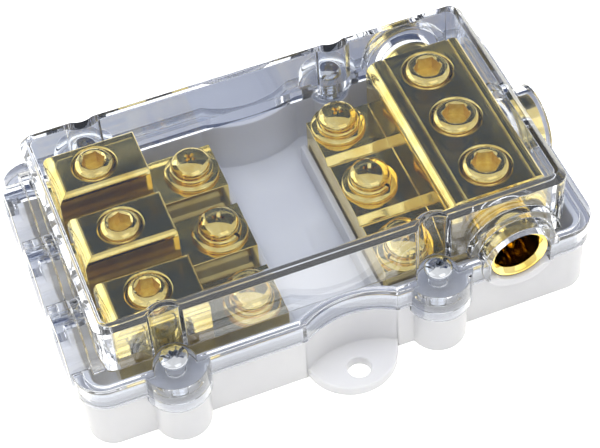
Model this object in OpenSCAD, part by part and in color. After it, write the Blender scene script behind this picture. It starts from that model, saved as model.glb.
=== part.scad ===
// Covered distribution block for small bolt-down strip fuses.
// One shared supply block on the right feeds three separate outlet blocks on the left.
// Frame: X along the housing towards the supply end, Y across it, Z up from the underside.

/* [Base tray] */
// Length of the base tray, end to end
base_length = 97.2; // [88:0.1:110]
// Width of the base tray without its ears
base_width = 55.4; // [50:0.1:66]
// Radius of the upright corners of the tray
corner_r = 4.8; // [3:0.1:7]
// Thickness of the tray's upright walls
base_wall = 2.4; // [2:0.1:2.8]
// Thickness of the tray's floor
floor_t = 2.6; // [2:0.1:3.2]
// Height of the shoulder that the cover's skirt sits on
shoulder_z = 12; // [11.5:0.1:12.5]
// Height of the thin rim that stands above the shoulder, inside the skirt
rim_h = 2.2; // [1.5:0.1:2.6]
// How far the rim stands in from the outer face of the wall
rim_inset = 1.3; // [1:0.05:1.6]

/* [Mounting ears] */
// Place of both ears along the housing
ear_x = 0.6; // [-2:0.1:3]
// Distance from the housing's middle to the tip of an ear
ear_reach = 35; // [34:0.1:38]
// Radius of the rounded ear
ear_r = 8.8; // [7.5:0.1:9.5]
// Thickness of an ear
ear_t = 2.3; // [2:0.1:3.5]
// Radius of the screw hole in an ear
ear_hole_r = 2.2; // [1.6:0.05:2.4]
// Distance from the ear's tip to the middle of its hole
ear_hole_inset = 4.4; // [4:0.1:4.6]
// Width of the shallow curved recess in the long walls above an ear
recess_chord = 18; // [14:0.5:20]
// Depth of that recess
recess_depth = 2.7; // [1:0.1:2.9]

/* [Screw bosses] */
// Distance from the tray's outlet end to the middle of its two screw bosses
boss_end_out = 16.6; // [14:0.1:18]
// Distance from the tray's supply end to the middle of its two screw bosses
boss_end_in = 30.7; // [29:0.1:32]
// How far the middle of a boss lies inside the outer face of the long wall
boss_inset = 1.1; // [0.9:0.1:1.3]
// Outer radius of a boss below the shoulder
boss_r = 5.3; // [5:0.1:5.6]
// Radius of the tray's screw pillar and of the cover's clear post that stands on it
pillar_r = 3.9; // [3.4:0.1:4.5]

/* [Cover] */
// How far the skirt stands out past the tray's wall
skirt_out = 0.75; // [0.5:0.05:1]
// How far the sleeve around a boss reaches below the skirt
sleeve_drop = 2; // [1:0.1:3]
// Height of the flat ledge around the cover
ledge_z = 17.3; // [17:0.1:18.5]
// Thickness of the ledge
ledge_t = 2; // [1.6:0.1:2.4]
// Width of the ledge at both ends, from the tray's wall line
ledge_end = 4.3; // [4:0.1:4.4]
// Width of the ledge along both sides, from the tray's wall line
ledge_side = 2.9; // [2.6:0.1:3]
// Height of the top of the cover
cover_z = 29.2; // [28.6:0.1:34]
// Thickness of the cover's upright walls
cover_wall = 1.8; // [1.4:0.1:1.9]
// Thickness of the cover's top
cover_top = 1.8; // [1.4:0.1:2.2]
// Radius of the upright corners of the raised part
upper_r = 2.6; // [2.2:0.1:4]
// Width of the sloping edge around the top
top_bevel = 1.4; // [0.6:0.1:1.6]
// Radius of the screwdriver groove over each cover screw
groove_r = 3.7; // [3.2:0.1:3.7]
// Wall left behind a screwdriver groove
groove_wall = 1.1; // [0.8:0.1:1.1]

/* [Wire ports] */
// Height of the middle of every wire port
wire_z = 16; // [15.9:0.1:16.4]
// Outer radius of the round noses of the supply block
in_nose_r = 5.6; // [5.4:0.05:5.7]
// Radius of the supply block's wire holes
in_wire_r = 4.2; // [3.6:0.05:4.2]
// Outer radius of the round noses of the outlet blocks
out_nose_r = 4.7; // [4.4:0.05:4.9]
// Radius of the outlet blocks' wire holes
out_wire_r = 3.3; // [2.6:0.05:3.4]
// Width of the sloping lip at the mouth of a wire hole
mouth_bevel = 0.9; // [0.4:0.05:1]
// Room between a nose and the housing around it
port_gap = 0.25; // [0.2:0.05:0.4]
// Thickness of the clear ring around a port
ring_t = 1.8; // [1.5:0.1:2]
// How far the foot of a port hood stands out around its ring
hood_foot = 1.5; // [0.8:0.1:1.5]
// Length of the foot of a port hood
hood_foot_len = 1.6; // [1:0.1:2.2]
// How far a port ring stands out past the tray's wall line
ring_out = 1.2; // [1:0.1:1.6]
// How far a supply nose ends behind the front of its port ring
nose_recess = 0.7; // [0.4:0.05:1.3]

/* [Terminal blocks] */
// Distance between the two fuse screws of one circuit
fuse_spacing = 30; // [29.5:0.1:30.5]
// Room between the outlet blocks of neighbouring circuits
block_gap = 4.8; // [4.4:0.1:5.4]
// Room between the outer outlet blocks and the outer face of the long walls
side_room = 6.1; // [6:0.05:6.6]
// Height of the seat that every block stands on
seat_z = 4.6; // [4.4:0.1:5]
// Height of the low fuse seat of every block
step_z = 13; // [12.6:0.1:13.4]
// Height of the top of every block
block_z = 23.8; // [23.4:0.1:24.2]
// Distance from a fuse screw to the tall part of the supply block
in_seat_room = 7.4; // [6:0.1:8.5]
// Room between the supply block and the outer face of the end wall
in_end_room = 6.4; // [6.3:0.1:7.5]
// Distance from a fuse screw to the free edge of its seat
fuse_edge = 5.4; // [5.3:0.05:5.6]
// Distance from the outer fuse screws to the sides of the supply block
in_seat_side = 3.3; // [2.8:0.1:4]
// Distance from the outer set screws to the sides of the supply block
in_set_side = 6.2; // [5.8:0.1:6.6]
// Distance from a fuse screw to the tall part of an outlet block
out_seat_room = 8.95; // [6:0.05:10]
// Room between an outlet block and the outer face of the end wall
out_end_room = 7.55; // [6.5:0.05:9]
// Radius of the large rounded top edge of a block
edge_r_large = 2.6; // [1.8:0.1:2.8]
// Radius of the small rounded top edge of a block
edge_r_small = 1.4; // [0.8:0.1:1.6]
// Width of the fine lines cut along the top of a block
line_w = 0.4; // [0.3:0.05:0.5]
// Depth of the notch across the seats between two circuits
notch_d = 1.3; // [0.8:0.1:1.6]

/* [Set screws] */
// Radius of a supply set screw
in_set_r = 4.4; // [4.2:0.05:4.5]
// Radius of an outlet set screw
out_set_r = 3.7; // [3.5:0.05:3.75]
// Width across flats of the hexagon socket in a supply set screw
in_hex = 4.8; // [4:0.1:5]
// Width across flats of the hexagon socket in an outlet set screw
out_hex = 4; // [3:0.1:4]
// Height of a set screw's crown above the block when no wire is held
crown = 1.1; // [0.8:0.1:1.2]
// Radius of the rounded crown edge
crown_r = 1.5; // [1:0.1:1.5]

/* [Fuse screws] */
// Radius of the thread of a fuse screw
fuse_screw_r = 2; // [1.8:0.05:2.1]
// Length of a fuse screw below its head
fuse_screw_len = 8.4; // [8:0.1:8.8]
// Radius of a fuse screw's head
fuse_head_r = 4.1; // [3.9:0.1:4.3]
// Height of a fuse screw's head
fuse_head_h = 2.7; // [2.4:0.1:3]
// Outer radius of the split spring washer
lock_r = 4.6; // [4.4:0.05:4.7]
// Thickness of the split spring washer
lock_t = 1; // [0.8:0.1:1.1]
// Outer radius of the flat washer
flat_r = 5.3; // [5.1:0.05:5.35]
// Thickness of the flat washer
flat_t = 0.8; // [0.6:0.1:0.9]

/* [Cover screws and fixing screws] */
// Radius of the thread of a cover screw
cover_screw_r = 1.45; // [1.3:0.05:1.5]
// Length of a cover screw below its head
cover_screw_len = 12; // [11:0.1:13]
// Radius of a cover screw's head
cover_head_r = 2.6; // [2.4:0.05:2.8]
// Height of a cover screw's head
cover_head_h = 1.9; // [1.6:0.1:2.1]
// Radius of the thread of a block fixing screw
fix_r = 1.45; // [1.2:0.05:1.5]
// Length of a block fixing screw below its head
fix_len = 8; // [7.4:0.1:8.4]
// Radius of a fixing screw's head
fix_head_r = 2.7; // [2.5:0.05:2.8]
// Height of a fixing screw's head
fix_head_h = 1.8; // [1.6:0.1:1.9]
// Depth of the pocket that hides a fixing screw's head
fix_pocket = 2.2; // [2:0.1:2.4]

/* [Hidden] */
$fn = 72;

// Clearances
skirt_gap = 0.15;
thread_gap = 0.05;
washer_gap = 0.2;
cover_hole_gap = 0.25;
head_gap = 0.3;
rib_gap = 0.2;
wall_gap = 0.3;
over = 1;

// Smaller details that several pieces share
rib_t = 1.3;
rib_h = 2.4;
pad_inset = 1;
hex_depth = 3;
slot_w = 0.9;
slot_depth = 1.5;
slot_reach = 0.55;
set_length = 3;
set_travel = 6.2;
lip = 0.6;
split_w = 0.8;
split_angle = 25;
line_depth = 0.3;
line_inset = 0.9;
pilot_end = 4;

// Heights
rim_z = shoulder_z + rim_h;
ledge_under = ledge_z - ledge_t;
cavity_z = cover_z - cover_top;
flat_top = step_z + flat_t;
head_z = flat_top + lock_t;
set_top = block_z + crown;
set_bottom = block_z + crown - crown_r - set_length;
pocket_z = set_bottom - set_travel - lip;

// Lengths along the housing
fuse_mid = ear_x;
in_fuse_x = fuse_mid + fuse_spacing / 2;
out_fuse_x = fuse_mid - fuse_spacing / 2;
in_tall_x0 = in_fuse_x + in_seat_room;
in_tall_x1 = base_length / 2 - in_end_room;
in_tall = in_tall_x1 - in_tall_x0;
in_set_x = in_tall_x0 + in_tall / 2 + lip;
in_step_x0 = in_fuse_x - fuse_edge;
out_tall_x0 = -base_length / 2 + out_end_room;
out_tall_x1 = out_fuse_x - out_seat_room;
out_tall = out_tall_x1 - out_tall_x0;
out_set_x = out_tall_x0 + out_tall / 2 - lip / 2;
out_step_x1 = out_fuse_x + fuse_edge;
boss_x_out = -base_length / 2 + boss_end_out;
boss_x_in = base_length / 2 - boss_end_in;

// Places across the housing: the three circuits share the tray's width evenly
circuit_pitch = (base_width - 2 * side_room + block_gap) / 3;
out_width = circuit_pitch - block_gap;
in_width = 2 * (circuit_pitch + in_seat_side);
in_set_pitch = in_width / 2 - in_set_side;
circuit_y = [-circuit_pitch, 0, circuit_pitch];
in_set_y = [-in_set_pitch, 0, in_set_pitch];
in_fix_y = [-circuit_pitch / 2 - lip, circuit_pitch / 2 + lip];
boss_y = base_width / 2 - boss_inset;
boss_points = [[boss_x_out, -boss_y], [boss_x_in, -boss_y], [boss_x_out, boss_y], [boss_x_in, boss_y]];

// The raised part of the cover
upper_length = base_length - 2 * ledge_end;
upper_width = base_width - 2 * ledge_side;
cavity_length = upper_length - 2 * cover_wall;
cavity_width = upper_width - 2 * cover_wall;

// The recess above an ear is part of a large circle
recess_r = (pow(recess_chord / 2, 2) + pow(recess_depth, 2)) / (2 * recess_depth);
recess_y = base_width / 2 - recess_depth + recess_r;
ear_y = ear_reach - ear_r;
ear_hole_y = ear_reach - ear_hole_inset;

// Each port: its place, its direction, the distance to the tray's wall and to the raised wall
IN_PORTS = [
    [[in_set_x, 0], -90, base_width / 2, upper_width / 2],
    [[in_set_x, 0], 90, base_width / 2, upper_width / 2],
    [[0, 0], 0, base_length / 2, upper_length / 2]
];
OUT_PORTS = [for (y = circuit_y) [[0, y], 180, base_length / 2, upper_length / 2]];

FROSTED = [0.78, 0.80, 0.84];
CLEAR = [0.80, 0.85, 0.92, 0.35];
GOLD = [0.83, 0.66, 0.22];
STEEL = [0.80, 0.81, 0.83];

// Flat outlines

module rounded_rect(l, w, r) {
    square([l - 2 * r, w], center = true);
    square([l, w - 2 * r], center = true);
    for (sx = [-1, 1], sy = [-1, 1])
        translate([sx * (l / 2 - r), sy * (w / 2 - r)])
            circle(r);
}

// Outline of the long and short walls, moved out by grow, with the recess above each ear
module wall_outline(grow) {
    difference() {
        rounded_rect(base_length + 2 * grow, base_width + 2 * grow, corner_r + grow);
        for (s = [-1, 1])
            translate([ear_x, s * recess_y])
                circle(recess_r - grow);
    }
}

module boss_outline(r) {
    for (p = boss_points)
        translate(p)
            circle(r);
}

// Rectangle whose two upper corners are rounded
module round_top_profile(w, h, r_left, r_right) {
    difference() {
        square([w, h]);
        corner_cut([0, h], r_left, 1);
        corner_cut([w, h], r_right, -1);
    }
}

// What a rounding of radius r takes off the corner at p
module corner_cut(p, r, side) {
    translate(p)
        difference() {
            translate([side * (r - over) / 2, (over - r) / 2])
                square([r + over, r + over], center = true);
            translate([side * r, -r])
                circle(r);
        }
}

// Port opening: round above, straight below, down to the depth given
module arch_profile(r, depth) {
    intersection() {
        union() {
            circle(r);
            translate([-r, -depth])
                square([2 * r, depth]);
        }
        translate([-r, -depth])
            square([2 * r, depth + r]);
    }
}

// Stands the children's outline upright across a port's direction
module across_port(from, to) {
    translate([from, 0, 0])
        rotate([90, 0, 90])
            linear_extrude(to - from)
                children();
}

module at_port(port) {
    translate([port[0][0], port[0][1], wire_z])
        rotate([0, 0, port[1]])
            children();
}

// Block with upright rounded corners and a sloping top edge
module bevelled_slab(l, w, r, h, bevel) {
    linear_extrude(h - bevel)
        rounded_rect(l, w, r);
    translate([-l / 2 + r, 0, 0])
        rotate([90, 0, 90])
            linear_extrude(l - 2 * r)
                bevelled_profile(w, h, bevel);
    translate([0, w / 2 - r, 0])
        rotate([90, 0, 0])
            linear_extrude(w - 2 * r)
                bevelled_profile(l, h, bevel);
    for (sx = [-1, 1], sy = [-1, 1])
        translate([sx * (l / 2 - r), sy * (w / 2 - r), h - bevel])
            cylinder(h = bevel, r1 = r, r2 = r - bevel);
}

module bevelled_profile(w, h, bevel) {
    polygon([
        [-w / 2, 0],
        [w / 2, 0],
        [w / 2, h - bevel],
        [w / 2 - bevel, h],
        [-w / 2 + bevel, h],
        [-w / 2, h - bevel]
    ]);
}

// Base tray

module tray_shell() {
    difference() {
        union() {
            linear_extrude(shoulder_z) {
                wall_outline(0);
                boss_outline(boss_r);
            }
            linear_extrude(rim_z)
                wall_outline(-rim_inset);
            for (s = [-1, 1])
                translate([ear_x, s * ear_y, 0])
                    cylinder(h = ear_t, r = ear_r);
            for (port = IN_PORTS)
                port_lip(port, in_nose_r);
            for (port = OUT_PORTS)
                port_lip(port, out_nose_r);
        }
        translate([0, 0, shoulder_z])
            linear_extrude(rim_h + over)
                boss_outline(pillar_r + skirt_gap);
        translate([0, 0, floor_t])
            linear_extrude(ledge_z)
                difference() {
                    wall_outline(-base_wall);
                    boss_outline(pillar_r);
                }
    }
}

// Lower part of the ring around a port: wide up to the shoulder, then as high as the rim between the cover's legs
module port_lip(port, nose_r) {
    ring_r = nose_r + port_gap + ring_t;
    mouth = nose_r + port_gap - skirt_gap;
    at_port(port)
        across_port(port[2] - base_wall, port[2] + ring_out)
            intersection() {
                circle(ring_r);
                union() {
                    translate([-ring_r, -ring_r])
                        square([2 * ring_r, ring_r + shoulder_z - wire_z]);
                    translate([-mouth, -ring_r])
                        square([2 * mouth, ring_r + rim_z - wire_z]);
                }
            }
}

// Raised seat with low ribs on both sides that keep a block in its place
module block_seat(x0, x1, w, y) {
    translate([x0 + pad_inset, y - w / 2 + pad_inset, 0])
        cube([x1 - x0 - 2 * pad_inset, w - 2 * pad_inset, seat_z]);
    for (s = [-1, 1])
        translate([x0 + pad_inset, y + s * (w / 2 + rib_gap + rib_t / 2) - rib_t / 2, 0])
            cube([x1 - x0 - 2 * pad_inset, rib_t, seat_z + rib_h]);
}

// Low ribs across the tray that stop the blocks at their inner ends
module end_ribs() {
    translate([out_step_x1 + rib_gap, -circuit_pitch - out_width / 2, 0])
        cube([rib_t, 2 * circuit_pitch + out_width, seat_z + rib_h]);
    translate([in_step_x0 - rib_gap - rib_t, -in_width / 2, 0])
        cube([rib_t, in_width, seat_z + rib_h]);
}

module fixing_hole(x, y) {
    translate([x, y, -over])
        cylinder(h = fix_pocket + over, r = fix_head_r + head_gap);
    translate([x, y, 0])
        cylinder(h = seat_z + over, r = fix_r + cover_hole_gap);
}

module base() {
    color(FROSTED)
        difference() {
            union() {
                tray_shell();
                for (y = circuit_y)
                    block_seat(out_tall_x0, out_step_x1, out_width, y);
                block_seat(in_step_x0, in_tall_x1, in_width, 0);
                end_ribs();
            }
            for (port = IN_PORTS)
                at_port(port)
                    across_port(port[2] - base_wall - over, port[2] + ring_out + over)
                        circle(in_nose_r + port_gap);
            for (port = OUT_PORTS)
                at_port(port)
                    across_port(port[2] - base_wall - over, port[2] + ring_out + over)
                        circle(out_nose_r + port_gap);
            for (p = boss_points)
                translate([p[0], p[1], pilot_end])
                    cylinder(h = ledge_z, r = cover_screw_r + thread_gap);
            for (s = [-1, 1])
                translate([ear_x, s * ear_hole_y, -over])
                    cylinder(h = ear_t + 2 * over, r = ear_hole_r);
            for (y = circuit_y)
                fixing_hole(out_set_x, y);
            for (y = in_fix_y)
                fixing_hole(in_set_x, y);
        }
}

// Clear cover

// Hood around one port: a wide foot against the raised wall and a narrower ring in front of it
module port_hood(port, nose_r) {
    ring_r = nose_r + port_gap + ring_t;
    at_port(port) {
        across_port(port[3] - cover_wall, port[3] + hood_foot_len)
            arch_profile(ring_r + hood_foot, wire_z - shoulder_z);
        across_port(port[3] - cover_wall, port[2] + ring_out)
            intersection() {
                circle(ring_r);
                arch_profile(ring_r, wire_z - shoulder_z);
            }
    }
}

module port_cut(port, nose_r) {
    at_port(port)
        across_port(port[3] - cover_wall - over, port[2] + ring_out + over)
            arch_profile(nose_r + port_gap, wire_z);
}

module cover_outside() {
    bevelled_slab_z(shoulder_z, upper_length, upper_width, upper_r, cover_z, top_bevel);
    translate([0, 0, shoulder_z])
        linear_extrude(ledge_z - shoulder_z) {
            wall_outline(skirt_out);
            boss_outline(boss_r + skirt_gap + skirt_out);
        }
    translate([0, 0, shoulder_z - sleeve_drop])
        linear_extrude(sleeve_drop + over)
            difference() {
                boss_outline(boss_r + skirt_gap + skirt_out);
                boss_outline(boss_r + skirt_gap);
                wall_outline(skirt_gap);
            }
    for (port = IN_PORTS)
        port_hood(port, in_nose_r);
    for (port = OUT_PORTS)
        port_hood(port, out_nose_r);
}

module bevelled_slab_z(z, l, w, r, top, bevel) {
    translate([0, 0, z])
        bevelled_slab(l, w, r, top - z, bevel);
}

// Everything that is empty inside the cover
module cover_inside() {
    translate([0, 0, ledge_under - over])
        linear_extrude(cavity_z - ledge_under + over)
            difference() {
                rounded_rect(cavity_length, cavity_width, upper_r - cover_wall / 2);
                boss_outline(groove_r + groove_wall);
            }
    translate([0, 0, shoulder_z - over])
        linear_extrude(ledge_under - shoulder_z + over)
            difference() {
                wall_outline(skirt_gap - rim_inset);
                boss_outline(pillar_r);
            }
}

module cover() {
    color(CLEAR)
        difference() {
            cover_outside();
            cover_inside();
            for (port = IN_PORTS)
                port_cut(port, in_nose_r);
            for (port = OUT_PORTS)
                port_cut(port, out_nose_r);
            for (p = boss_points) {
                translate([p[0], p[1], ledge_z])
                    cylinder(h = cover_z, r = groove_r);
                translate([p[0], p[1], 0])
                    cylinder(h = cover_z, r = cover_screw_r + cover_hole_gap);
            }
        }
}

// Terminal blocks

// Threaded hole for a set screw, with a sloping rim, down into the wire hole
module set_hole(x, y, r) {
    translate([x, y, pocket_z])
        cylinder(h = block_z - pocket_z + over, r = r + thread_gap);
    translate([x, y, block_z - lip - over])
        cylinder(h = lip + 2 * over, r1 = r + thread_gap - over, r2 = r + thread_gap + lip + over);
}

module fuse_hole(x, y) {
    translate([x, y, head_z - fuse_screw_len - lip])
        cylinder(h = fuse_screw_len, r = fuse_screw_r + thread_gap);
}

module fix_tapping(x, y) {
    translate([x, y, seat_z - over])
        cylinder(h = fix_pocket + fix_len - seat_z + over + lip, r = fix_r + thread_gap);
}

// Fine line along the top of a block, in its end profile
module top_line(x) {
    translate([x - line_w / 2, block_z - line_depth])
        square([line_w, line_depth + over]);
}

module wire_hole(port, stop, end, r) {
    at_port(port) {
        translate([stop, 0, 0])
            rotate([0, 90, 0])
                cylinder(h = end - stop + over, r = r);
        translate([end - mouth_bevel - over, 0, 0])
            rotate([0, 90, 0])
                cylinder(h = mouth_bevel + 2 * over, r1 = r - over, r2 = r + mouth_bevel + over);
    }
}

module nose(port, from, end, r) {
    at_port(port)
        translate([from - over, 0, 0])
            rotate([0, 90, 0])
                cylinder(h = end - from + over, r = r);
}

// Where a supply nose ends inside its port ring, and an outlet nose behind the cover's raised wall
function in_nose_end(port) = port[2] + ring_out - nose_recess;
function out_nose_end(port) = port[3] - cover_wall - wall_gap;

// V-shaped notch along the fuse seats between two circuits
module seat_notch(y) {
    translate([in_step_x0 - over, y, step_z - notch_d])
        rotate([90, 0, 90])
            linear_extrude(in_tall_x0 - in_step_x0 + over)
                polygon([[0, 0], [notch_d + over, notch_d + over], [-notch_d - over, notch_d + over]]);
}

module input_block() {
    color(GOLD)
        difference() {
            union() {
                translate([0, in_width / 2, 0])
                    rotate([90, 0, 0])
                        linear_extrude(in_width)
                            difference() {
                                union() {
                                    translate([in_step_x0, seat_z])
                                        square([in_tall_x1 - in_step_x0, step_z - seat_z]);
                                    translate([in_tall_x0, seat_z])
                                        round_top_profile(in_tall, block_z - seat_z, edge_r_large, edge_r_small);
                                }
                                top_line(in_tall_x0 + edge_r_large + line_inset);
                                top_line(in_tall_x1 - edge_r_small - line_inset);
                            }
                nose(IN_PORTS[0], in_width / 2, in_nose_end(IN_PORTS[0]), in_nose_r);
                nose(IN_PORTS[1], in_width / 2, in_nose_end(IN_PORTS[1]), in_nose_r);
                nose(IN_PORTS[2], in_tall_x1, in_nose_end(IN_PORTS[2]), in_nose_r);
            }
            for (y = in_set_y)
                set_hole(in_set_x, y, in_set_r);
            for (y = circuit_y)
                fuse_hole(in_fuse_x, y);
            for (y = [-circuit_pitch / 2, circuit_pitch / 2])
                seat_notch(y);
            for (y = in_fix_y)
                fix_tapping(in_set_x, y);
            wire_hole(IN_PORTS[0], in_set_pitch - in_set_r - lip, in_nose_end(IN_PORTS[0]), in_wire_r);
            wire_hole(IN_PORTS[1], in_set_pitch - in_set_r - lip, in_nose_end(IN_PORTS[1]), in_wire_r);
            wire_hole(IN_PORTS[2], in_set_x - in_set_r - lip, in_nose_end(IN_PORTS[2]), in_wire_r);
        }
}

module output_block(i) {
    y = circuit_y[i];
    color(GOLD)
        difference() {
            union() {
                intersection() {
                    translate([0, y + out_width / 2 + over, seat_z])
                        rotate([90, 0, 0])
                            linear_extrude(out_width + 2 * over) {
                                translate([out_tall_x0, 0])
                                    square([out_step_x1 - out_tall_x0, step_z - seat_z]);
                                translate([out_tall_x0, 0])
                                    round_top_profile(out_tall, block_z - seat_z, edge_r_large, edge_r_small / 2);
                            }
                    translate([out_tall_x0 - over, y - out_width / 2, seat_z])
                        rotate([90, 0, 90])
                            linear_extrude(out_step_x1 - out_tall_x0 + 2 * over)
                                round_top_profile(out_width, block_z - seat_z, edge_r_small, edge_r_small);
                }
                nose(OUT_PORTS[i], -out_tall_x0, out_nose_end(OUT_PORTS[i]), out_nose_r);
            }
            set_hole(out_set_x, y, out_set_r);
            fuse_hole(out_fuse_x, y);
            fix_tapping(out_set_x, y);
            wire_hole(OUT_PORTS[i], -out_set_x - out_set_r - lip, out_nose_end(OUT_PORTS[i]), out_wire_r);
        }
}

// Screws and washers

// Socket screw with a rounded crown
module set_screw(x, y, r, hex) {
    color(GOLD)
        translate([x, y, set_bottom])
            difference() {
                rotate_extrude()
                    intersection() {
                        translate([-r, 0])
                            round_top_profile(2 * r, set_length + crown_r, crown_r, crown_r);
                        polygon([
                            [0, 0],
                            [r - lip, 0],
                            [r, lip],
                            [r, set_length + crown_r],
                            [0, set_length + crown_r]
                        ]);
                    }
                translate([0, 0, set_length + crown_r - hex_depth])
                    cylinder(h = hex_depth + over, r = hex / 2 / cos(30), $fn = 6);
            }
}

// Domed head with a cross recess, standing on z = 0
module cross_head(r, h) {
    dome_r = (r * r + h * h / 4) / h;
    difference() {
        rotate_extrude()
            intersection() {
                translate([0, h - dome_r])
                    circle(dome_r, $fn = 144);
                square([r, h]);
            }
        for (turn = [0, 90])
            rotate([0, 0, turn])
                translate([-r * slot_reach, -slot_w / 2, h - slot_depth])
                    cube([2 * r * slot_reach, slot_w, slot_depth + over]);
    }
}

module fuse_screw(x, y) {
    color(GOLD)
        translate([x, y, head_z]) {
            cross_head(fuse_head_r, fuse_head_h);
            translate([0, 0, -fuse_screw_len])
                cylinder(h = fuse_screw_len + lip, r = fuse_screw_r);
        }
}

module lock_washer(x, y) {
    color(GOLD)
        translate([x, y, flat_top])
            difference() {
                cylinder(h = lock_t, r = lock_r);
                translate([0, 0, -over])
                    cylinder(h = lock_t + 2 * over, r = fuse_screw_r + washer_gap);
                translate([fuse_screw_r, 0, lock_t / 2])
                    rotate([split_angle, 0, 0])
                        translate([0, -split_w / 2, -2 * lock_t])
                            cube([lock_r, split_w, 4 * lock_t]);
            }
}

module flat_washer(x, y) {
    color(GOLD)
        translate([x, y, step_z])
            difference() {
                cylinder(h = flat_t, r = flat_r);
                translate([0, 0, -over])
                    cylinder(h = flat_t + 2 * over, r = fuse_screw_r + washer_gap);
            }
}

module cover_screw(p) {
    color(STEEL)
        translate([p[0], p[1], ledge_z]) {
            cross_head(cover_head_r, cover_head_h);
            translate([0, 0, -cover_screw_len])
                cylinder(h = cover_screw_len + lip, r = cover_screw_r);
        }
}

// Screw that holds a block from the underside, its head hidden in a pocket
module fixing_screw(x, y) {
    color(STEEL)
        translate([x, y, fix_pocket])
            rotate([180, 0, 0]) {
                cross_head(fix_head_r, fix_head_h);
                translate([0, 0, -fix_len])
                    cylinder(h = fix_len + lip, r = fix_r);
            }
}

base();
cover();
input_block();
for (i = [0:2]) {
    n = i + 1;
    y = circuit_y[i];
    output_block(i);
    set_screw(in_set_x, in_set_y[i], in_set_r, in_hex);
    set_screw(out_set_x, y, out_set_r, out_hex);
    fuse_screw(in_fuse_x, y);
    fuse_screw(out_fuse_x, y);
    lock_washer(in_fuse_x, y);
    lock_washer(out_fuse_x, y);
    flat_washer(in_fuse_x, y);
    flat_washer(out_fuse_x, y);
    fixing_screw(out_set_x, y);
}
for (i = [0:3])
    cover_screw(boss_points[i]);
for (i = [0:1])
    fixing_screw(in_set_x, in_fix_y[i]);
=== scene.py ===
"""Looks of a covered distribution block for small bolt-down strip fuses.

A clear cover stands on a frosted tray, over one gold plated supply block and three outlet blocks. Every
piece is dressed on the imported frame, in metres, with +X towards the supply end and +Z up.
"""

import logging
import math
from dataclasses import dataclass
from enum import Enum

import bpy
from mathutils import Matrix, Vector


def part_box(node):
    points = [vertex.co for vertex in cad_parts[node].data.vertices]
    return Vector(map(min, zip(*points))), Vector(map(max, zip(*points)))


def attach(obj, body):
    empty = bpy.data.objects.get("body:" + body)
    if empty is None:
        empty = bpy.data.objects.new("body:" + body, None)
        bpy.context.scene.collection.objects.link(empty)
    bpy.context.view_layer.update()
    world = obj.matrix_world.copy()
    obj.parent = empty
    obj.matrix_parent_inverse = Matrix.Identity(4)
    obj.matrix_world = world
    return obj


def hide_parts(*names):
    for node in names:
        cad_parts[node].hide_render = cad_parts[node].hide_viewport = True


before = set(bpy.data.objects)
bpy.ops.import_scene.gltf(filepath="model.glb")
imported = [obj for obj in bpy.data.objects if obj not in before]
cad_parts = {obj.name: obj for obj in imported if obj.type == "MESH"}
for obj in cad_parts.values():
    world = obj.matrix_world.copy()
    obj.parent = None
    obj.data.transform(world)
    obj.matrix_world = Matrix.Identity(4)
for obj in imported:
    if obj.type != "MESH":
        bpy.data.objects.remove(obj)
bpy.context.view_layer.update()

MM = 0.001
LOG = logging.getLogger("fuse_holder")
WELD = 0.002 * MM
WHITE = "#FFFFFF"
# Faces that meet within this many degrees are one flat face, and edges above the second get rounded.
FLAT = 0.6
SHARP = 24
# A screw thread's depth, and where its narrow crest starts and ends, as shares of the pitch.
THREAD_DEPTH = 0.54
CREST = (0.44, 0.56)


class Slot(Enum):
    """Material slots of the record."""

    FROSTED = "frosted_plastic"
    CLEAR = "clear_plastic"
    GOLD = "gold_plated_brass"
    STEEL = "plated_steel"


def linear(hex_colour: str) -> tuple[float, float, float, float]:
    """Turns an sRGB hex value to linear colour.

    Args:
        hex_colour: A value such as "#E2B64A".

    Returns:
        Red, green, blue and an alpha of 1.
    """
    shares = [int(hex_colour[i : i + 2], 16) / 255 for i in (1, 3, 5)]
    red, green, blue = (s / 12.92 if s <= 0.04045 else ((s + 0.055) / 1.055) ** 2.4 for s in shares)
    return red, green, blue, 1.0


def add_node(
    tree: bpy.types.NodeTree, kind: str, settings: dict | None = None, links: dict | None = None
) -> bpy.types.Node:
    """Adds a shader node with its settings and links.

    Args:
        tree: The node tree of a material or world.
        kind: Blender's name of the node's type.
        settings: Attributes of the node, or values of its inputs by name or index.
        links: Sources for its inputs, by name or index.

    Returns:
        The new node.
    """
    node = tree.nodes.new(kind)
    for key, value in (settings or {}).items():
        if isinstance(key, str) and hasattr(node, key):
            setattr(node, key, value)
        else:
            node.inputs[key].default_value = value
    for key, source in (links or {}).items():
        tree.links.new(source, node.inputs[key])
    return node


def empty_material(name: str) -> bpy.types.Material:
    """Makes a material whose node tree is empty.

    Args:
        name: The material's name.

    Returns:
        The new material.
    """
    made = bpy.data.materials.new(name)
    made.use_nodes = True
    made.node_tree.nodes.clear()
    return made


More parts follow.
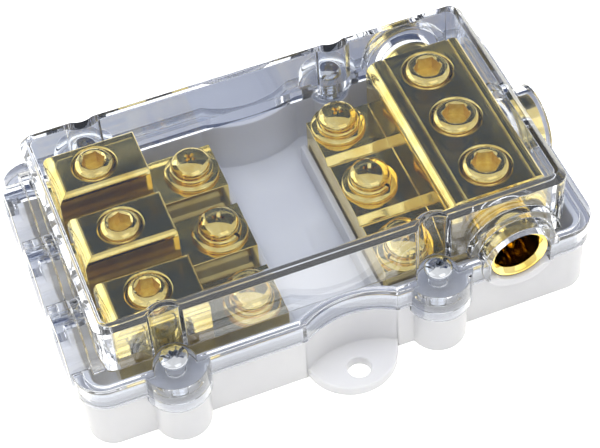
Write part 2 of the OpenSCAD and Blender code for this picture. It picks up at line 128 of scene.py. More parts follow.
@dataclass(frozen=True)
class Finish:
    """A surface finish: how a real material was made, and what that gives the eye."""

    name: str

    def material(self) -> bpy.types.Material:
        """Makes the material at its first use.

        Returns:
            The finish's material.
        """
        found = bpy.data.materials.get(self.name)
        if found:
            return found
        made = empty_material(self.name)
        self.build(made.node_tree)
        return made

    def build(self, tree: bpy.types.NodeTree) -> None:
        """Makes the finish's nodes in a tree."""
        raise NotImplementedError

    def noise(self, tree: bpy.types.NodeTree, size: float, detail: float) -> bpy.types.Node:
        """A noise whose features are about the given size.

        Args:
            tree: The node tree.
            size: Size of the features in metres.
            detail: Number of finer octaves.

        Returns:
            The noise node.
        """
        place = add_node(tree, "ShaderNodeTexCoord")
        settings = {"Scale": 1 / size, "Detail": detail, "Roughness": 0.5}
        return add_node(tree, "ShaderNodeTexNoise", settings, {"Vector": place.outputs["Object"]})

    def ranged(
        self, tree: bpy.types.NodeTree, source: bpy.types.NodeSocket, low: float, high: float
    ) -> bpy.types.NodeSocket:
        """Spreads a noise value over a range.

        Args:
            tree: The node tree.
            source: Output to read.
            low: Value at the noise's low end.
            high: Value at its high end.

        Returns:
            The output that holds the value.
        """
        settings = {"From Min": 0.3, "From Max": 0.7, "To Min": low, "To Max": high}
        return add_node(tree, "ShaderNodeMapRange", settings, {"Value": source}).outputs["Result"]

    def blend(
        self, tree: bpy.types.NodeTree, source: bpy.types.NodeSocket, first: str, second: str
    ) -> bpy.types.NodeSocket:
        """Mixes two hex colours by a noise value.

        Args:
            tree: The node tree.
            source: Output that mixes them.
            first: Colour at the low end.
            second: Colour at the high end.

        Returns:
            The output that holds the colour.
        """
        share = self.ranged(tree, source, 0.0, 1.0)
        settings = {"data_type": "RGBA", 6: linear(first), 7: linear(second)}
        return add_node(tree, "ShaderNodeMix", settings, {0: share}).outputs[2]

    def relief(
        self, tree: bpy.types.NodeTree, source: bpy.types.Node, strength: float, height: float
    ) -> bpy.types.NodeSocket:
        """Turns a noise into a fine relief of the surface.

        Args:
            tree: The node tree.
            source: The noise node.
            strength: Share of the relief that shows.
            height: Height of the relief in metres.

        Returns:
            The output that holds the normal.
        """
        settings = {"Strength": strength, "Distance": height}
        return add_node(tree, "ShaderNodeBump", settings, {"Height": source.outputs["Fac"]}).outputs["Normal"]


@dataclass(frozen=True)
class ClearMoulding(Finish):
    """Clear polycarbonate, injection moulded in a polished tool.

    The eye sees through it, with dark and bright lines where edges bend the view, and very faint ripples.
    """

    tint: str = "#F1F4FA"
    shade: str = "#F4F6FA"
    ior: float = 1.585
    ripple: float = 9 * MM
    ripple_height: float = 0.2 * MM
    ripple_strength: float = 0.06
    polish: float = 0.015
    clarity: float = 0.985

    def build(self, tree: bpy.types.NodeTree) -> None:
        """Makes the finish's nodes, with plain tinted light in its shadow.

        Args:
            tree: The material's node tree.
        """
        ripple = self.noise(tree, self.ripple, 1.0)
        settings = {
            "Base Color": linear(self.tint),
            "Roughness": self.polish,
            "IOR": self.ior,
            "Transmission Weight": self.clarity,
        }
        links = {"Normal": self.relief(tree, ripple, self.ripple_strength, self.ripple_height)}
        glass = add_node(tree, "ShaderNodeBsdfPrincipled", settings, links)
        lets_through = add_node(tree, "ShaderNodeBsdfTransparent", {"Color": linear(self.shade)})
        path = add_node(tree, "ShaderNodeLightPath")
        links = {0: path.outputs["Is Shadow Ray"], 1: glass.outputs[0], 2: lets_through.outputs[0]}
        both = add_node(tree, "ShaderNodeMixShader", {}, links)
        add_node(tree, "ShaderNodeOutputMaterial", {}, {"Surface": both.outputs[0]})


@dataclass(frozen=True)
class FrostedMoulding(Finish):
    """Natural polypropylene, injection moulded in a spark-eroded tool.

    It is milky and lets light soak a few millimetres in, under a fine satin grain. The grain is drawn
    coarser than the spark's own, so that it shows.
    """

    milk: str = "#D9D9DA"
    cool: str = "#CFCFD2"
    cloud: float = 14 * MM
    grain: float = 0.35 * MM
    grain_height: float = 0.03 * MM
    grain_strength: float = 0.12
    ior: float = 1.49
    satin: tuple[float, float] = (0.34, 0.46)
    milkiness: float = 0.45
    soak: float = 2.2 * MM
    soak_by_colour: tuple[float, float, float] = (1.0, 1.0, 1.15)

    def build(self, tree: bpy.types.NodeTree) -> None:
        """Makes the finish's nodes.

        Args:
            tree: The material's node tree.
        """
        cloud = self.noise(tree, self.cloud, 2.0)
        grain = self.noise(tree, self.grain, 2.0)
        settings = {
            "IOR": self.ior,
            "Subsurface Weight": self.milkiness,
            "Subsurface Radius": self.soak_by_colour,
            "Subsurface Scale": self.soak,
        }
        links = {
            "Base Color": self.blend(tree, cloud.outputs["Fac"], self.milk, self.cool),
            "Roughness": self.ranged(tree, grain.outputs["Fac"], *self.satin),
            "Normal": self.relief(tree, grain, self.grain_strength, self.grain_height),
        }
        body = add_node(tree, "ShaderNodeBsdfPrincipled", settings, links)
        add_node(tree, "ShaderNodeOutputMaterial", {}, {"Surface": body.outputs[0]})


@dataclass(frozen=True)
class BrightPlate(Finish):
    """Metal with a thin bright electroplated layer over a machined surface.

    It mirrors the studio, a little warped by the machining below, with slight clouding in the polish.
    """

    bright: str = "#F5E194"
    deep: str = "#E3C564"
    smooth: float = 0.05
    dull: float = 0.12
    cloud: float = 5 * MM
    wave: float = 3.5 * MM
    wave_strength: float = 0.10
    wave_height: float = 0.1 * MM

    def build(self, tree: bpy.types.NodeTree) -> None:
        """Makes the finish's nodes.

        Args:
            tree: The material's node tree.
        """
        cloud = self.noise(tree, self.cloud, 4.0)
        wave = self.noise(tree, self.wave, 1.0)
        links = {
            "Base Color": self.blend(tree, cloud.outputs["Fac"], self.bright, self.deep),
            "Roughness": self.ranged(tree, cloud.outputs["Fac"], self.smooth, self.dull),
            "Normal": self.relief(tree, wave, self.wave_strength, self.wave_height),
        }
        body = add_node(tree, "ShaderNodeBsdfPrincipled", {"Metallic": 1.0}, links)
        add_node(tree, "ShaderNodeOutputMaterial", {}, {"Surface": body.outputs[0]})


CLEAR_COVER = ClearMoulding("moulded clear polycarbonate")
FROSTED_TRAY = FrostedMoulding("moulded natural polypropylene")
GOLD_BLOCK = BrightPlate("gold plated brass block")
# Turned and barrel plated, so its polish is even.
GOLD_SCREW = BrightPlate("gold plated steel screw", "#F7E294", "#E8CA6C", 0.05, 0.10, 2 * MM, 2 * MM, 0.05)
# The broach tears the hexagon's walls, so they glow rather than mirror.
GOLD_SOCKET = BrightPlate("broached gold plated socket", "#FCE68C", "#F0D068", 0.3, 0.4, 1 * MM, 1 * MM, 0.2)
# Cool and bright, beside the warm gold.
NICKEL_SCREW = BrightPlate(
    "nickel plated steel screw", "#D9DCE0", "#C6C9CE", 0.05, 0.12, 2 * MM, 2 * MM, 0.05
)


def only(piece: bpy.types.Object) -> None:
    """Selects one object alone and makes it the active one.

    Args:
        piece: The object.
    """
    bpy.ops.object.select_all(action="DESELECT")
    piece.select_set(True)
    bpy.context.view_layer.objects.active = piece


def new_cube() -> bpy.types.Object:
    """Adds a cube of one metre at the origin, to be sized and placed.

    Returns:
        The cube, alone in the selection.
    """
    bpy.ops.object.select_all(action="DESELECT")
    bpy.ops.mesh.primitive_cube_add(size=1, location=(0, 0, 0))
    return bpy.context.object


def new_plane(name: str, size: float, height: float = 0.0) -> bpy.types.Object:
    """Adds a square on the level.

    Args:
        name: Name of the new object.
        size: Its side in metres.
        height: Its height in metres.

    Returns:
        The plane, alone in the selection.
    """
    bpy.ops.object.select_all(action="DESELECT")
    bpy.ops.mesh.primitive_plane_add(size=size, location=(0, 0, height))
    plane = bpy.context.object
    plane.name = name
    return plane


def apply_all(piece: bpy.types.Object) -> None:
    """Applies every modifier of a piece, from first to last.

    Args:
        piece: The piece.
    """
    only(piece)
    for modifier in list(piece.modifiers):
        bpy.ops.object.modifier_apply(modifier=modifier.name)


def smooth(piece: bpy.types.Object, degrees: float = 35) -> None:
    """Shades a piece smooth, with its edges above the angle left sharp."""
    only(piece)
    bpy.ops.object.shade_smooth_by_angle(angle=math.radians(degrees))


def hand_over(piece: bpy.types.Object, finish: Finish, slot: Slot, body: str, *nodes: str) -> None:
    """Gives a finished piece its material, its body and the nodes that it stands for.

    Args:
        piece: The piece, in place.
        finish: Its finish.
        slot: The record's material slot; not used.
        body: The body that it moves with.
        nodes: The nodes that it replaces.
    """
    piece.data.materials.clear()
    piece.data.materials.append(finish.material())
    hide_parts(*nodes)
    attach(piece, body)
    LOG.info("%s: %d faces, on %s", piece.name, len(piece.data.polygons), body)


def copy_of(node: str, name: str) -> bpy.types.Object:
    """Copies a CAD node's mesh, in place, and welds it.

    Args:
        node: The node's name.
        name: Name of the new piece.

    Returns:
        The new piece.
    """
    piece = bpy.data.objects.new(name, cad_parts[node].data.copy())
    bpy.context.scene.collection.objects.link(piece)
    only(piece)
    bpy.ops.mesh.customdata_custom_splitnormals_clear()
    bpy.ops.object.mode_set(mode="EDIT")
    bpy.ops.mesh.select_all(action="SELECT")
    bpy.ops.mesh.remove_doubles(threshold=WELD)
    bpy.ops.object.mode_set(mode="OBJECT")
    return piece


def round_edges(piece: bpy.types.Object, width: float, segments: int) -> bpy.types.Object:
    """Rounds a piece's sharp edges as a mould or a deburring does, with its flat faces kept flat.

    Args:
        piece: The piece.
        width: Width of the rounding in metres.
        segments: Number of faces across a rounding.

    Returns:
        The same piece.
    """
    only(piece)
    bpy.ops.object.mode_set(mode="EDIT")
    bpy.ops.mesh.select_all(action="SELECT")
    bpy.ops.mesh.remove_doubles(threshold=WELD)
    bpy.ops.mesh.dissolve_limited(angle_limit=math.radians(FLAT))
    bpy.ops.object.mode_set(mode="OBJECT")
    bpy.ops.object.shade_smooth()
    rounding = piece.modifiers.new("rounding", "BEVEL")
    rounding.width = width
    rounding.segments = segments
    rounding.limit_method = "ANGLE"
    rounding.angle_limit = math.radians(SHARP)
    rounding.use_clamp_overlap = False
    rounding.miter_outer = "MITER_SHARP"
    flatten = piece.modifiers.new("flat faces", "WEIGHTED_NORMAL")
    flatten.mode = "FACE_AREA"
    flatten.weight = 80
    apply_all(piece)
    return piece


def lathe(name: str, profile: list[tuple[float, float]], steps: int) -> bpy.types.Object:
    """Turns a profile of radius and height points round the Z axis.

    Args:
        name: Name of the new piece.
        profile: Points from the bottom of the axis to its top, or a closed loop beside the axis.
        steps: Number of faces round the axis.

    Returns:
        The new piece, at the origin.
    """
    piece = new_plane(name, MM)
    bpy.ops.object.mode_set(mode="EDIT")
    bpy.ops.mesh.select_all(action="SELECT")
    bpy.ops.mesh.merge(type="CENTER")
    bpy.ops.transform.translate(value=(profile[0][0], 0, profile[0][1]))
    for (r0, z0), (r1, z1) in zip(profile, profile[1:]):
        bpy.ops.mesh.extrude_region_move(TRANSFORM_OT_translate={"value": (r1 - r0, 0, z1 - z0)})
    bpy.ops.mesh.select_all(action="SELECT")
    bpy.ops.mesh.spin(steps=steps, angle=math.tau, center=(0, 0, 0), axis=(0, 0, 1))
    bpy.ops.mesh.select_all(action="SELECT")
    bpy.ops.mesh.remove_doubles(threshold=WELD)
    bpy.ops.mesh.normals_make_consistent(inside=False)
    bpy.ops.object.mode_set(mode="OBJECT")
    return piece


def arc(
    centre: tuple[float, float], rx: float, rz: float, start: float, end: float, steps: int
) -> list[tuple[float, float]]:
    """Points along an ellipse in a lathe profile.

    Args:
        centre: Radius and height of its centre.
        rx: Half size outwards.
        rz: Half size upwards.
        start: First angle in degrees.
        end: Last angle in degrees.
        steps: Number of stretches.

    Returns:
        The points, both ends included.
    """
    angles = [math.radians(start + (end - start) * i / steps) for i in range(steps + 1)]
    return [(centre[0] + rx * math.cos(a), centre[1] + rz * math.sin(a)) for a in angles]


def thread(radius: float, low: float, high: float, pitch: float) -> list[tuple[float, float]]:
    """Profile of thread ridges from low to high.

    Args:
        radius: Outer radius of the ridges.
        low: Where the thread starts.
        high: Where it ends.
        pitch: Distance between ridges.

    Returns:
        The points, from low to high.
    """
    depth = THREAD_DEPTH * pitch
    count = max(1, int((high - low) / pitch))
    step = (high - low) / count
    points = [(radius - depth, low)]
    for i in range(count):
        foot = low + i * step
        points += [
            (radius, foot + CREST[0] * step),
            (radius, foot + CREST[1] * step),
            (radius - depth, foot + step),
        ]
    return points


def cut(piece: bpy.types.Object, cutter: bpy.types.Object, solver: str = "EXACT") -> None:
    """Takes a cutter's shape out of a piece, and removes the cutter.

    Args:
        piece: The piece.
        cutter: A closed shape.
        solver: Blender's name of the boolean's method.
    """
    taken = piece.modifiers.new("cut", "BOOLEAN")
    taken.operation = "DIFFERENCE"
    taken.solver = solver
    taken.object = cutter
    apply_all(piece)
    bpy.data.objects.remove(cutter)


def blade(
    length: float, width: float, low: float, high: float, taper: tuple[float, float], turn: float
) -> bpy.types.Object:
    """One tapered wing pair of a cross recess, as a cutter.

    Args:
        length: Length across at the top.
        width: Thickness at the top.
        low: Height of its bottom.
        high: Height of its top.
        taper: Shares of the length and of the thickness left at the bottom.
        turn: Angle about the axis in degrees.

    Returns:
        The cutter.
    """
    cutter = new_cube()
    cutter.data.transform(Matrix.Diagonal((length, width, high - low, 1)))
    cutter.data.transform(Matrix.Translation((0, 0, (high + low) / 2)))
    bpy.ops.object.mode_set(mode="EDIT")
    bpy.ops.mesh.select_all(action="DESELECT")
    bpy.ops.object.mode_set(mode="OBJECT")
    for face in cutter.data.polygons:
        face.select = face.normal.z < -0.9
    bpy.ops.object.mode_set(mode="EDIT")
    bpy.ops.transform.resize(value=(*taper, 1), center_override=(0, 0, low))
    bpy.ops.object.mode_set(mode="OBJECT")
    cutter.data.transform(Matrix.Rotation(math.radians(turn), 4, "Z"))
    return cutter


def placed(
    source: bpy.types.Object, name: str, at: Vector, turn: float, flip: bool = False
) -> bpy.types.Object:
    """Copies a modelled piece, with its own mesh, to its place.

    Args:
        source: The piece modelled at the origin.
        name: Name of the copy.
        at: Where its origin goes.
        turn: Angle about its axis in degrees.
        flip: Whether it points down.

    Returns:
        The copy.
    """
    copy = bpy.data.objects.new(name, source.data.copy())
    bpy.context.scene.collection.objects.link(copy)
    if flip:
        copy.data.transform(Matrix.Rotation(math.pi, 4, "X"))
    copy.data.transform(Matrix.Rotation(math.radians(turn), 4, "Z"))
    copy.data.transform(Matrix.Translation(at))
    return copy


@dataclass(frozen=True)
class Place:
    """Where a turned node stands: its axis, its radius and its lowest and highest point."""

    x: float
    y: float
    radius: float
    low: float
    high: float

    @classmethod
    def of(cls, node: str) -> "Place":
        """Reads a node's place from the frame."""
        low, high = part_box(node)
        return cls((low.x + high.x) / 2, (low.y + high.y) / 2, (high.y - low.y) / 2, low.z, high.z)

    def at(self, height: float) -> Vector:
        """The point on the axis at a height."""
        return Vector((self.x, self.y, height))


@dataclass
class Housing:
    """The frosted tray and the clear cover over it.

    Above the tray's shoulder the port rings belong to the cover, so the tray's thin strips beside the
    ports are trimmed away there. Each port is given by the middle of its rim's outer plane and by the
    way it faces.
    """

    ports: tuple[tuple[float, float, int, int], ...] = (
        (33.2 * MM, -26.4 * MM, 0, -1),
        (33.2 * MM, 26.4 * MM, 0, 1),
        (47.3 * MM, 0, 1, 0),
        (-47.3 * MM, -16 * MM, -1, 0),
        (-47.3 * MM, 0, -1, 0),
        (-47.3 * MM, 16 * MM, -1, 0),
    )
    shoulder: float = 12 * MM
    trim: tuple[float, float, float] = (3 * MM, 13 * MM, 3 * MM)
    tray_rounding: float = 0.3 * MM
    cover_rounding: float = 0.18 * MM
    segments: int = 3

    def trimmer(self) -> bpy.types.Object:
        """Makes one box outside the rim at each port.

        Returns:
            The boxes, joined as one cutter.
        """
        reach, wide, high = self.trim
        boxes = []
        for x, y, out_x, out_y in self.ports:
            box = new_cube()
            box.data.transform(Matrix.Diagonal((reach if out_x else wide, reach if out_y else wide, high, 1)))
            middle = Vector((x + out_x * reach / 2, y + out_y * reach / 2, self.shoulder + high / 2))
            box.data.transform(Matrix.Translation(middle))
            boxes.append(box)
        only(boxes[0])
        for box in boxes:
            box.select_set(True)
        bpy.ops.object.join()
        return bpy.context.object

    def build(self) -> None:
        """Makes and dresses both mouldings."""
        tray = copy_of("base", "frosted_tray")
        cut(tray, self.trimmer(), "MANIFOLD")
        round_edges(tray, self.tray_rounding, self.segments)
        hand_over(tray, FROSTED_TRAY, Slot.FROSTED, "tray", "base")
        cover = round_edges(copy_of("cover", "clear_cover"), self.cover_rounding, self.segments)
        hand_over(cover, CLEAR_COVER, Slot.CLEAR, "cover", "cover")


@dataclass
class TerminalBlocks:
    """The supply block and the three outlet blocks, milled, deburred and plated."""

    deburr: float = 0.14 * MM
    segments: int = 2
    outlets: int = 3

    def build(self) -> None:
        """Makes and dresses the four blocks."""
        supply = round_edges(copy_of("input_block", "supply_terminal_block"), self.deburr, self.segments)
        hand_over(supply, GOLD_BLOCK, Slot.GOLD, "tray", "input_block")
        for i in range(1, self.outlets + 1):
            node = f"output_block_{i}"
            outlet = round_edges(copy_of(node, f"outlet_terminal_block_{i}"), self.deburr, self.segments)
            hand_over(outlet, GOLD_BLOCK, Slot.GOLD, "tray", node)


@dataclass
class SetScrews:
    """Socket set screws that clamp the wires, three on each side, with a rounded crown round a small dish."""

    side: str
    across_flats: float
    turns: tuple[float, float, float]
    crown_r: float = 1.5 * MM
    crown_steps: int = 8
    tip: float = 0.6 * MM
    tip_inset: float = 0.3 * MM
    pitch: float = 1.0 * MM
    socket_depth: float = 3.0 * MM
    mouth_margin: float = 0.12 * MM
    dish: float = 0.3 * MM
    dish_share: float = 0.85
    steps: int = 64

    def socket_r(self) -> float:
        """The radius to the hexagon's corners."""
        return self.across_flats / 2 / math.cos(math.radians(30))

    def model(self, place: Place) -> bpy.types.Object:
        """Makes the screw at the origin, with its top at height 0.

        Args:
            place: Place of one such node, for its radius and length.

        Returns:
            The model.
        """
        r, low = place.radius, place.low - place.high
        mouth = self.socket_r() + self.mouth_margin
        inner = r - self.crown_r
        end = math.degrees(math.acos(max(0.0, mouth - inner) / self.crown_r))
        profile = [(0, low), (r - self.tip - self.tip_inset, low)]
        profile += thread(r, low + self.tip, -self.crown_r, self.pitch)
        profile += arc((inner, -self.crown_r), self.crown_r, self.crown_r, 0, end, self.crown_steps)
        profile += [(mouth, profile[-1][1])] if mouth < inner else []
        profile += [(self.dish_share * mouth, -self.dish), (0, -self.dish)]
        screw = lathe(f"{self.side}_set_screw_model", profile, self.steps)
        bpy.ops.object.select_all(action="DESELECT")
        bpy.ops.mesh.primitive_cylinder_add(
            vertices=6, radius=self.socket_r(), depth=2 * self.socket_depth, location=(0, 0, 0)
        )
        cut(screw, bpy.context.object)
        smooth(screw)
        return screw

    def build(self) -> None:
        """Makes the side's three screws."""
        model = self.model(Place.of(f"{self.side}_set_screw_1"))
        for i, turn in enumerate(self.turns, 1):
            node = f"{self.side}_set_screw_{i}"
            place = Place.of(node)
            screw = placed(model, f"gold_{node}", place.at(place.high), turn)
            hand_over(screw, GOLD_SCREW, Slot.GOLD, node, node)
            self.line_socket(screw, place)
        bpy.data.objects.remove(model)

    def line_socket(self, screw: bpy.types.Object, place: Place) -> None:
        """Gives the walls and floor of the hexagon their rougher finish.

        Args:
            screw: The screw, in place.
            place: Its place.
        """
        screw.data.materials.append(GOLD_SOCKET.material())
        reach = self.socket_r() + 0.02 * MM
        bottom, top = place.high - self.socket_depth - 0.1 * MM, place.high - 0.2 * MM
        for face in screw.data.polygons:
            off = math.hypot(face.center.x - place.x, face.center.y - place.y)
            if off < reach and bottom < face.center.z < top:
                face.material_index = 1


@dataclass(frozen=True)
class CrossScrew:
    """A screw with a domed head and a cross recess, as all the others in the holder are.

    The recess spans a share of the head's radius, and the head is drawn slimmer than its node by a share.
    """

    thread_r: float
    head_h: float
    pitch: float
    wing: float
    wing_depth: float
    span: float = 1.05
    slim: float = 1.0
    belly: float = 0.36
    curl: float = -34
    dome_steps: int = 14
    tip_share: float = 0.7
    recess_taper: tuple[float, float] = (0.35, 0.6)
    steps: int = 56

    def model(self, place: Place, name: str) -> bpy.types.Object:
        """Makes the screw at the origin, with its head standing on height 0.

        Args:
            place: Place of one such node, for its radius and length.
            name: Name of the model.

        Returns:
            The model.
        """
        r = self.slim * place.radius
        low = self.head_h - (place.high - place.low)
        belly = self.belly * self.head_h
        profile = [(0, low), (self.tip_share * self.thread_r, low)]
        profile += thread(self.thread_r, low + 0.4 * MM, -0.5 * MM, self.pitch)
        profile += [(self.thread_r, 0)]
        profile += arc((0, belly), r, self.head_h - belly, self.curl, 90, self.dome_steps)
        screw = lathe(name, profile, self.steps)
        bottom, top = self.head_h - self.wing_depth, 1.2 * self.head_h
        for turn in (0, 90):
            cut(screw, blade(self.span * r, self.wing, bottom, top, self.recess_taper, turn))
        smooth(screw)
        return screw


@dataclass
class FuseScrews:
    """Domed screws that clamp the fuses, each with a split spring washer and a flat washer."""

    screw: CrossScrew = CrossScrew(2 * MM, 2.7 * MM, 0.7 * MM, 0.8 * MM, 0.8 * MM, 0.85, 0.93)
    hole_r: float = 2.2 * MM
    edge: float = 0.2 * MM
    steps: int = 56
    crease: float = 50
    gap: float = 0.6 * MM
    spring_share: float = 0.9
    slant: float = 25
    turns: tuple[float, ...] = (20, 65, 40)
    gaps: tuple[float, ...] = (200, 310, 75)

    def ring(self, place: Place, name: str, share: float = 1.0) -> bpy.types.Object:
        """Makes a flat ring with softened edges, at the origin, from height 0 up.

        Args:
            place: Place of one such node, for its radius and height.
            name: Name of the model.
            share: Share of the node's radius that it is drawn at.

        Returns:
            The model.
        """
        high, e, inner, outer = place.high - place.low, self.edge, self.hole_r, share * place.radius
        loop = [(inner + e, 0), (outer - e, 0), (outer, e), (outer, high - e)]
        loop += [(outer - e, high), (inner + e, high), (inner, high - e), (inner, e), (inner + e, 0)]
        made = lathe(name, loop, self.steps)
        smooth(made, self.crease)
        return made

    def split_ring(self, place: Place, name: str) -> bpy.types.Object:
        """Makes a ring with the slanted split of a spring washer.

        Args:
            place: Place of one such node, for its radius and height.
            name: Name of the model.

        Returns:
            The model.
        """
        made = self.ring(place, name, self.spring_share)
        high = place.high - place.low
        cutter = new_cube()
        cutter.data.transform(Matrix.Diagonal((place.radius, self.gap, 4 * high, 1)))
        cutter.data.transform(Matrix.Rotation(math.radians(self.slant), 4, "X"))
        cutter.data.transform(Matrix.Translation((place.radius * 0.75, 0, high / 2)))
        cut(made, cutter)
        smooth(made, self.crease)
        return made

    def build(self) -> None:
        """Makes the six screws with their washers."""
        screw = self.screw.model(Place.of("input_fuse_screw_1"), "fuse_screw_model")
        spring = self.split_ring(Place.of("input_lock_washer_1"), "spring_washer_model")
        flat = self.ring(Place.of("input_flat_washer_1"), "flat_washer_model")
        for side in ("input", "output"):
            for i, (turn, gap) in enumerate(zip(self.turns, self.gaps), 1):
                body = f"{side}_fuse_screw_{i}"
                place = Place.of(body)
                head = placed(screw, f"gold_{body}", place.at(place.high - self.screw.head_h), turn)
                hand_over(head, GOLD_SCREW, Slot.GOLD, body, body)
                for model, kind, angle in ((spring, "lock_washer", gap), (flat, "flat_washer", 0)):
                    node = f"{side}_{kind}_{i}"
                    washer = placed(model, f"gold_{node}", place.at(Place.of(node).low), angle)
                    hand_over(washer, GOLD_SCREW, Slot.GOLD, body, node)
        for model in (screw, spring, flat):
            bpy.data.objects.remove(model)


@dataclass
class HousingScrews:
    """Plated screws: four that hold the cover, and five under the tray that hold the blocks."""

    cover: CrossScrew = CrossScrew(1.45 * MM, 1.9 * MM, 0.8 * MM, 0.75 * MM, 1.2 * MM)
    under: CrossScrew = CrossScrew(1.45 * MM, 1.8 * MM, 0.6 * MM, 0.75 * MM, 1.1 * MM)
    turns: tuple[float, ...] = (35, 10, 60, 25)
    under_turn: float = 17

    def build(self) -> None:
        """Makes the nine screws."""
        model = self.cover.model(Place.of("cover_screw_1"), "cover_screw_model")
        for i, turn in enumerate(self.turns, 1):
            node = f"cover_screw_{i}"
            place = Place.of(node)
            screw = placed(model, f"plated_{node}", place.at(place.high - self.cover.head_h), turn)
            hand_over(screw, NICKEL_SCREW, Slot.STEEL, node, node)
        bpy.data.objects.remove(model)
        nodes = [f"output_fixing_screw_{i}" for i in (1, 2, 3)] + [f"input_fixing_screw_{i}" for i in (1, 2)]
        model = self.under.model(Place.of(nodes[0]), "fixing_screw_model")
        for i, node in enumerate(nodes):
            place = Place.of(node)
            at = place.at(place.low + self.under.head_h)
            screw = placed(model, f"plated_{node}", at, self.under_turn * i, flip=True)
            hand_over(screw, NICKEL_SCREW, Slot.STEEL, "tray", node)
        bpy.data.objects.remove(model)


@dataclass(frozen=True)
class Card:
    """A card that only reflections and the clear cover show.

    It stands at a distance in one direction from the holder. A reflection shows the mirrored colour at
    its strength, and where the cover alone bends the view towards it, the other colour shows.
    """

    name: str
    direction: tuple[float, float, float]
    distance: float
    size: tuple[float, float]
    mirrored: str
    strength: float
    through: str


@dataclass(frozen=True)
class Lamp:
    """A square soft lamp that looks at the holder, with its side in metres and its power in watts."""

    name: str
    place: tuple[float, float, float]
    size: float
    power: float
    mirrored: bool = True


@dataclass
class Studio:
    """A pale floor, soft light and the camera at the photograph's angle."""

    azimuth: float = -17.81
    elevation: float = 50.22
    roll: float = -4.37
    distance: float = 342.8 * MM
    target: tuple[float, float, float] = (-0.35 * MM, -4.94 * MM, 15 * MM)
    focal: float = 111.4
    sensor: float = 36
    floor_size: float = 8.0
    floor_depth: float = 0.02 * MM
    floor_glow: float = 0.5
    surround_light: float = 0.52
    # A sheet under the holder that only the clear cover and reflections show: painted shade through the
    # cover, lighter at the left and darker at the right.
    shade_sheet_size: float = 0.24
    shade_sheet_depth: float = 0.01 * MM
    painted_shade_span: tuple[float, float] = (-50 * MM, 45 * MM)
    painted_shade_left: str = "#DADDE6"
    painted_shade_right: str = "#A8ABB9"
    # Painted bright reflection: the sheet's glow in metal, brighter than the floor.
    painted_reflection_colour: str = "#FFFDF6"
    painted_reflection_strength: float = 2.2
    cards: tuple[Card, ...] = (
        # The dark flag's last colour is painted grey-blue shade, shown where the cover alone bends the view
        # towards it.
        Card("dark flag", (0.40, 0.80, 0.58), 0.6, (0.98, 0.9), "#38476A", 1.0, "#C2C8D6"),
        Card("bright left card", (-0.80, 0.52, 0.32), 0.7, (0.75, 0.5), WHITE, 3.0, WHITE),
    )
    lamps: tuple[Lamp, ...] = (
        Lamp("left soft lamp", (-0.75, -0.15, 0.6), 0.7, 0.5),
        Lamp("front soft lamp", (0.2, -1.0, 0.95), 0.9, 1.6),
        Lamp("overhead soft lamp", (0, 0, 1.4), 1.6, 21.0, mirrored=False),
    )

    def camera(self) -> None:
        """Adds the camera and makes it the scene's."""
        a, e, r = (math.radians(v) for v in (self.azimuth, self.elevation, self.roll))
        back = Vector((math.sin(a) * math.cos(e), -math.cos(a) * math.cos(e), math.sin(e)))
        right = (-back).cross(Vector((0, 0, 1))).normalized()
        up = right.cross(-back)
        right, up = math.cos(r) * right + math.sin(r) * up, math.cos(r) * up - math.sin(r) * right
        data = bpy.data.cameras.new("product_camera")
        data.lens = self.focal
        data.sensor_width = self.sensor
        camera = bpy.data.objects.new("product_camera", data)
        bpy.context.scene.collection.objects.link(camera)
        turned = Matrix((right, up, back)).transposed().to_4x4()
        camera.matrix_world = Matrix.Translation(Vector(self.target) + self.distance * back) @ turned
        bpy.context.scene.camera = camera

    def seen(self, tree: bpy.types.NodeTree) -> bpy.types.NodeSocket:
        """Finds the camera's own rays and those that show the surround in metal and glass.

        Args:
            tree: The node tree.

        Returns:
            The output that is 1 for them.
        """
        path = add_node(tree, "ShaderNodeLightPath")
        found = path.outputs["Is Camera Ray"]
        for name in ("Is Glossy Ray", "Is Transmission Ray"):
            links = {0: found, 1: path.outputs[name]}
            found = add_node(tree, "ShaderNodeMath", {"operation": "MAXIMUM"}, links).outputs[0]
        return found

    def floor(self) -> None:
        """Adds the pale floor."""
        floor = new_plane("studio_floor", self.floor_size, -self.floor_depth)
        material = empty_material("pale paper floor")
        tree = material.node_tree
        paper = add_node(tree, "ShaderNodeBsdfDiffuse", {"Color": linear(WHITE)})
        settings = {"operation": "MULTIPLY", 1: self.floor_glow}
        lift = add_node(tree, "ShaderNodeMath", settings, {0: self.seen(tree)})
        glow = add_node(tree, "ShaderNodeEmission", {"Color": linear(WHITE)}, {"Strength": lift.outputs[0]})
        both = add_node(tree, "ShaderNodeAddShader", {}, {0: paper.outputs[0], 1: glow.outputs[0]})
        add_node(tree, "ShaderNodeOutputMaterial", {}, {"Surface": both.outputs[0]})
        floor.data.materials.append(material)

    def two_ways(self, tree: bpy.types.NodeTree, bent: bpy.types.Node, mirrored: bpy.types.Node) -> None:
        """Ends a material with one glow for rays that the cover alone bends and one for mirrored rays.

        Args:
            tree: The material's node tree.
            bent: Glow for rays that nothing has mirrored.
            mirrored: Glow for the others.
        """
        path = add_node(tree, "ShaderNodeLightPath")
        links = {0: path.outputs["Glossy Depth"]}
        bounced = add_node(tree, "ShaderNodeMath", {"operation": "GREATER_THAN", 1: 0.5}, links)
        links = {0: bounced.outputs[0], 1: bent.outputs[0], 2: mirrored.outputs[0]}
        both = add_node(tree, "ShaderNodeMixShader", {}, links)
        add_node(tree, "ShaderNodeOutputMaterial", {}, {"Surface": both.outputs[0]})

    def card(self, card: Card) -> None:
        """Adds a card.

        Args:
            card: Its place, size and colours.
        """
        plane = new_plane(card.name, 1)
        aim = Vector(card.direction).normalized()
        plane.data.transform(Matrix.Diagonal((*card.size, 1, 1)))
        plane.data.transform(aim.to_track_quat("Z", "Y").to_matrix().to_4x4())
        plane.data.transform(Matrix.Translation(aim * card.distance))
        material = empty_material(card.name)
        tree = material.node_tree
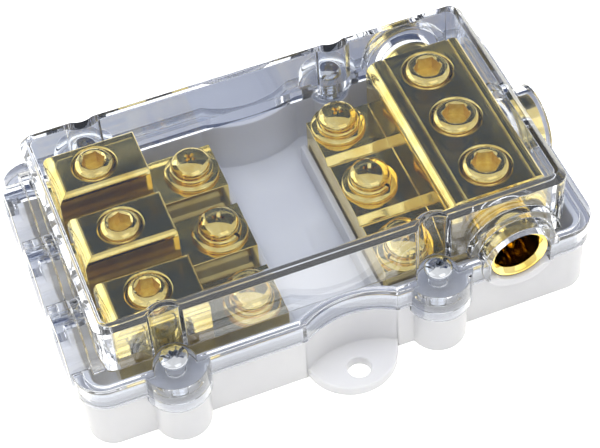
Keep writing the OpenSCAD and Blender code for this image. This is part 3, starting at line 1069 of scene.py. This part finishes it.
        # Where the cover alone bends the view here, this colour shows: painted grey-blue shade on the dark
        # flag.
        bent = add_node(tree, "ShaderNodeEmission", {"Color": linear(card.through), "Strength": 1.0})
        settings = {"Color": linear(card.mirrored), "Strength": card.strength}
        glow = add_node(tree, "ShaderNodeEmission", settings)
        self.two_ways(tree, bent, glow)
        self.hide(plane, material)

    def hide(self, plane: bpy.types.Object, material: bpy.types.Material) -> None:
        """Gives a stage plane its material and leaves it to reflections and the clear cover.

        Args:
            plane: The plane, in place.
            material: Its material.
        """
        plane.data.materials.append(material)
        plane.visible_camera = plane.visible_diffuse = plane.visible_shadow = False

    def painted_shade_sheet(self) -> None:
        """Adds a sheet below the holder: painted shade through the clear cover, lighter at the left and
        darker at the right, and a painted bright reflection in metal.
        """
        painted_shade_sheet = new_plane("painted shade sheet", self.shade_sheet_size, -self.shade_sheet_depth)
        material = empty_material("painted shade sheet")
        tree = material.node_tree
        place = add_node(tree, "ShaderNodeTexCoord")
        along = add_node(tree, "ShaderNodeSeparateXYZ", {}, {0: place.outputs["Object"]})
        settings = {"From Min": self.painted_shade_span[0], "From Max": self.painted_shade_span[1]}
        share = add_node(tree, "ShaderNodeMapRange", settings, {"Value": along.outputs["X"]})
        settings = {"data_type": "RGBA", 6: linear(self.painted_shade_left), 7: linear(self.painted_shade_right)}
        painted_shade_tone = add_node(tree, "ShaderNodeMix", settings, {0: share.outputs["Result"]})
        # Painted shade: the grey tone seen through the cover, lighter at the left and darker at the right.
        bent = add_node(tree, "ShaderNodeEmission", {"Strength": 1.0}, {"Color": painted_shade_tone.outputs[2]})
        # Painted bright reflection: what mirrored rays show instead of the floor.
        settings = {"Color": linear(self.painted_reflection_colour), "Strength": self.painted_reflection_strength}
        glow = add_node(tree, "ShaderNodeEmission", settings)
        self.two_ways(tree, bent, glow)
        self.hide(painted_shade_sheet, material)

    def lamp(self, lamp: Lamp) -> None:
        """Adds a lamp.

        Args:
            lamp: Its place, size and power.
        """
        data = bpy.data.lights.new(lamp.name, "AREA")
        data.size = lamp.size
        data.energy = lamp.power
        made = bpy.data.objects.new(lamp.name, data)
        bpy.context.scene.collection.objects.link(made)
        place = Vector(lamp.place)
        made.matrix_world = Matrix.Translation(place) @ place.to_track_quat("Z", "Y").to_matrix().to_4x4()
        made.visible_glossy = made.visible_transmission = lamp.mirrored

    def world(self) -> None:
        """Sets a white surround that is a little dimmer as light than it looks."""
        world = bpy.data.worlds.new("white surround")
        bpy.context.scene.world = world
        world.use_nodes = True
        tree = world.node_tree
        tree.nodes.clear()
        settings = {"Color": linear(WHITE), "Strength": self.surround_light}
        light = add_node(tree, "ShaderNodeBackground", settings)
        look = add_node(tree, "ShaderNodeBackground", {"Color": linear(WHITE), "Strength": 1.0})
        links = {0: self.seen(tree), 1: light.outputs[0], 2: look.outputs[0]}
        both = add_node(tree, "ShaderNodeMixShader", {}, links)
        add_node(tree, "ShaderNodeOutputWorld", {}, {"Surface": both.outputs[0]})

    def build(self) -> None:
        """Sets up the whole studio."""
        self.camera()
        self.floor()
        self.world()
        self.painted_shade_sheet()
        for card in self.cards:
            self.card(card)
        for lamp in self.lamps:
            self.lamp(lamp)
        bpy.context.scene.view_settings.view_transform = "Standard"


def main() -> None:
    """Builds the studio and every piece of the holder."""
    logging.basicConfig(level=logging.INFO, format="%(message)s")
    Studio().build()
    Housing().build()
    TerminalBlocks().build()
    SetScrews("input", 4.8 * MM, (12, 5, 20)).build()
    SetScrews("output", 4.0 * MM, (20, 48, 33)).build()
    FuseScrews().build()
    HousingScrews().build()


if __name__ == "__main__":
    main()
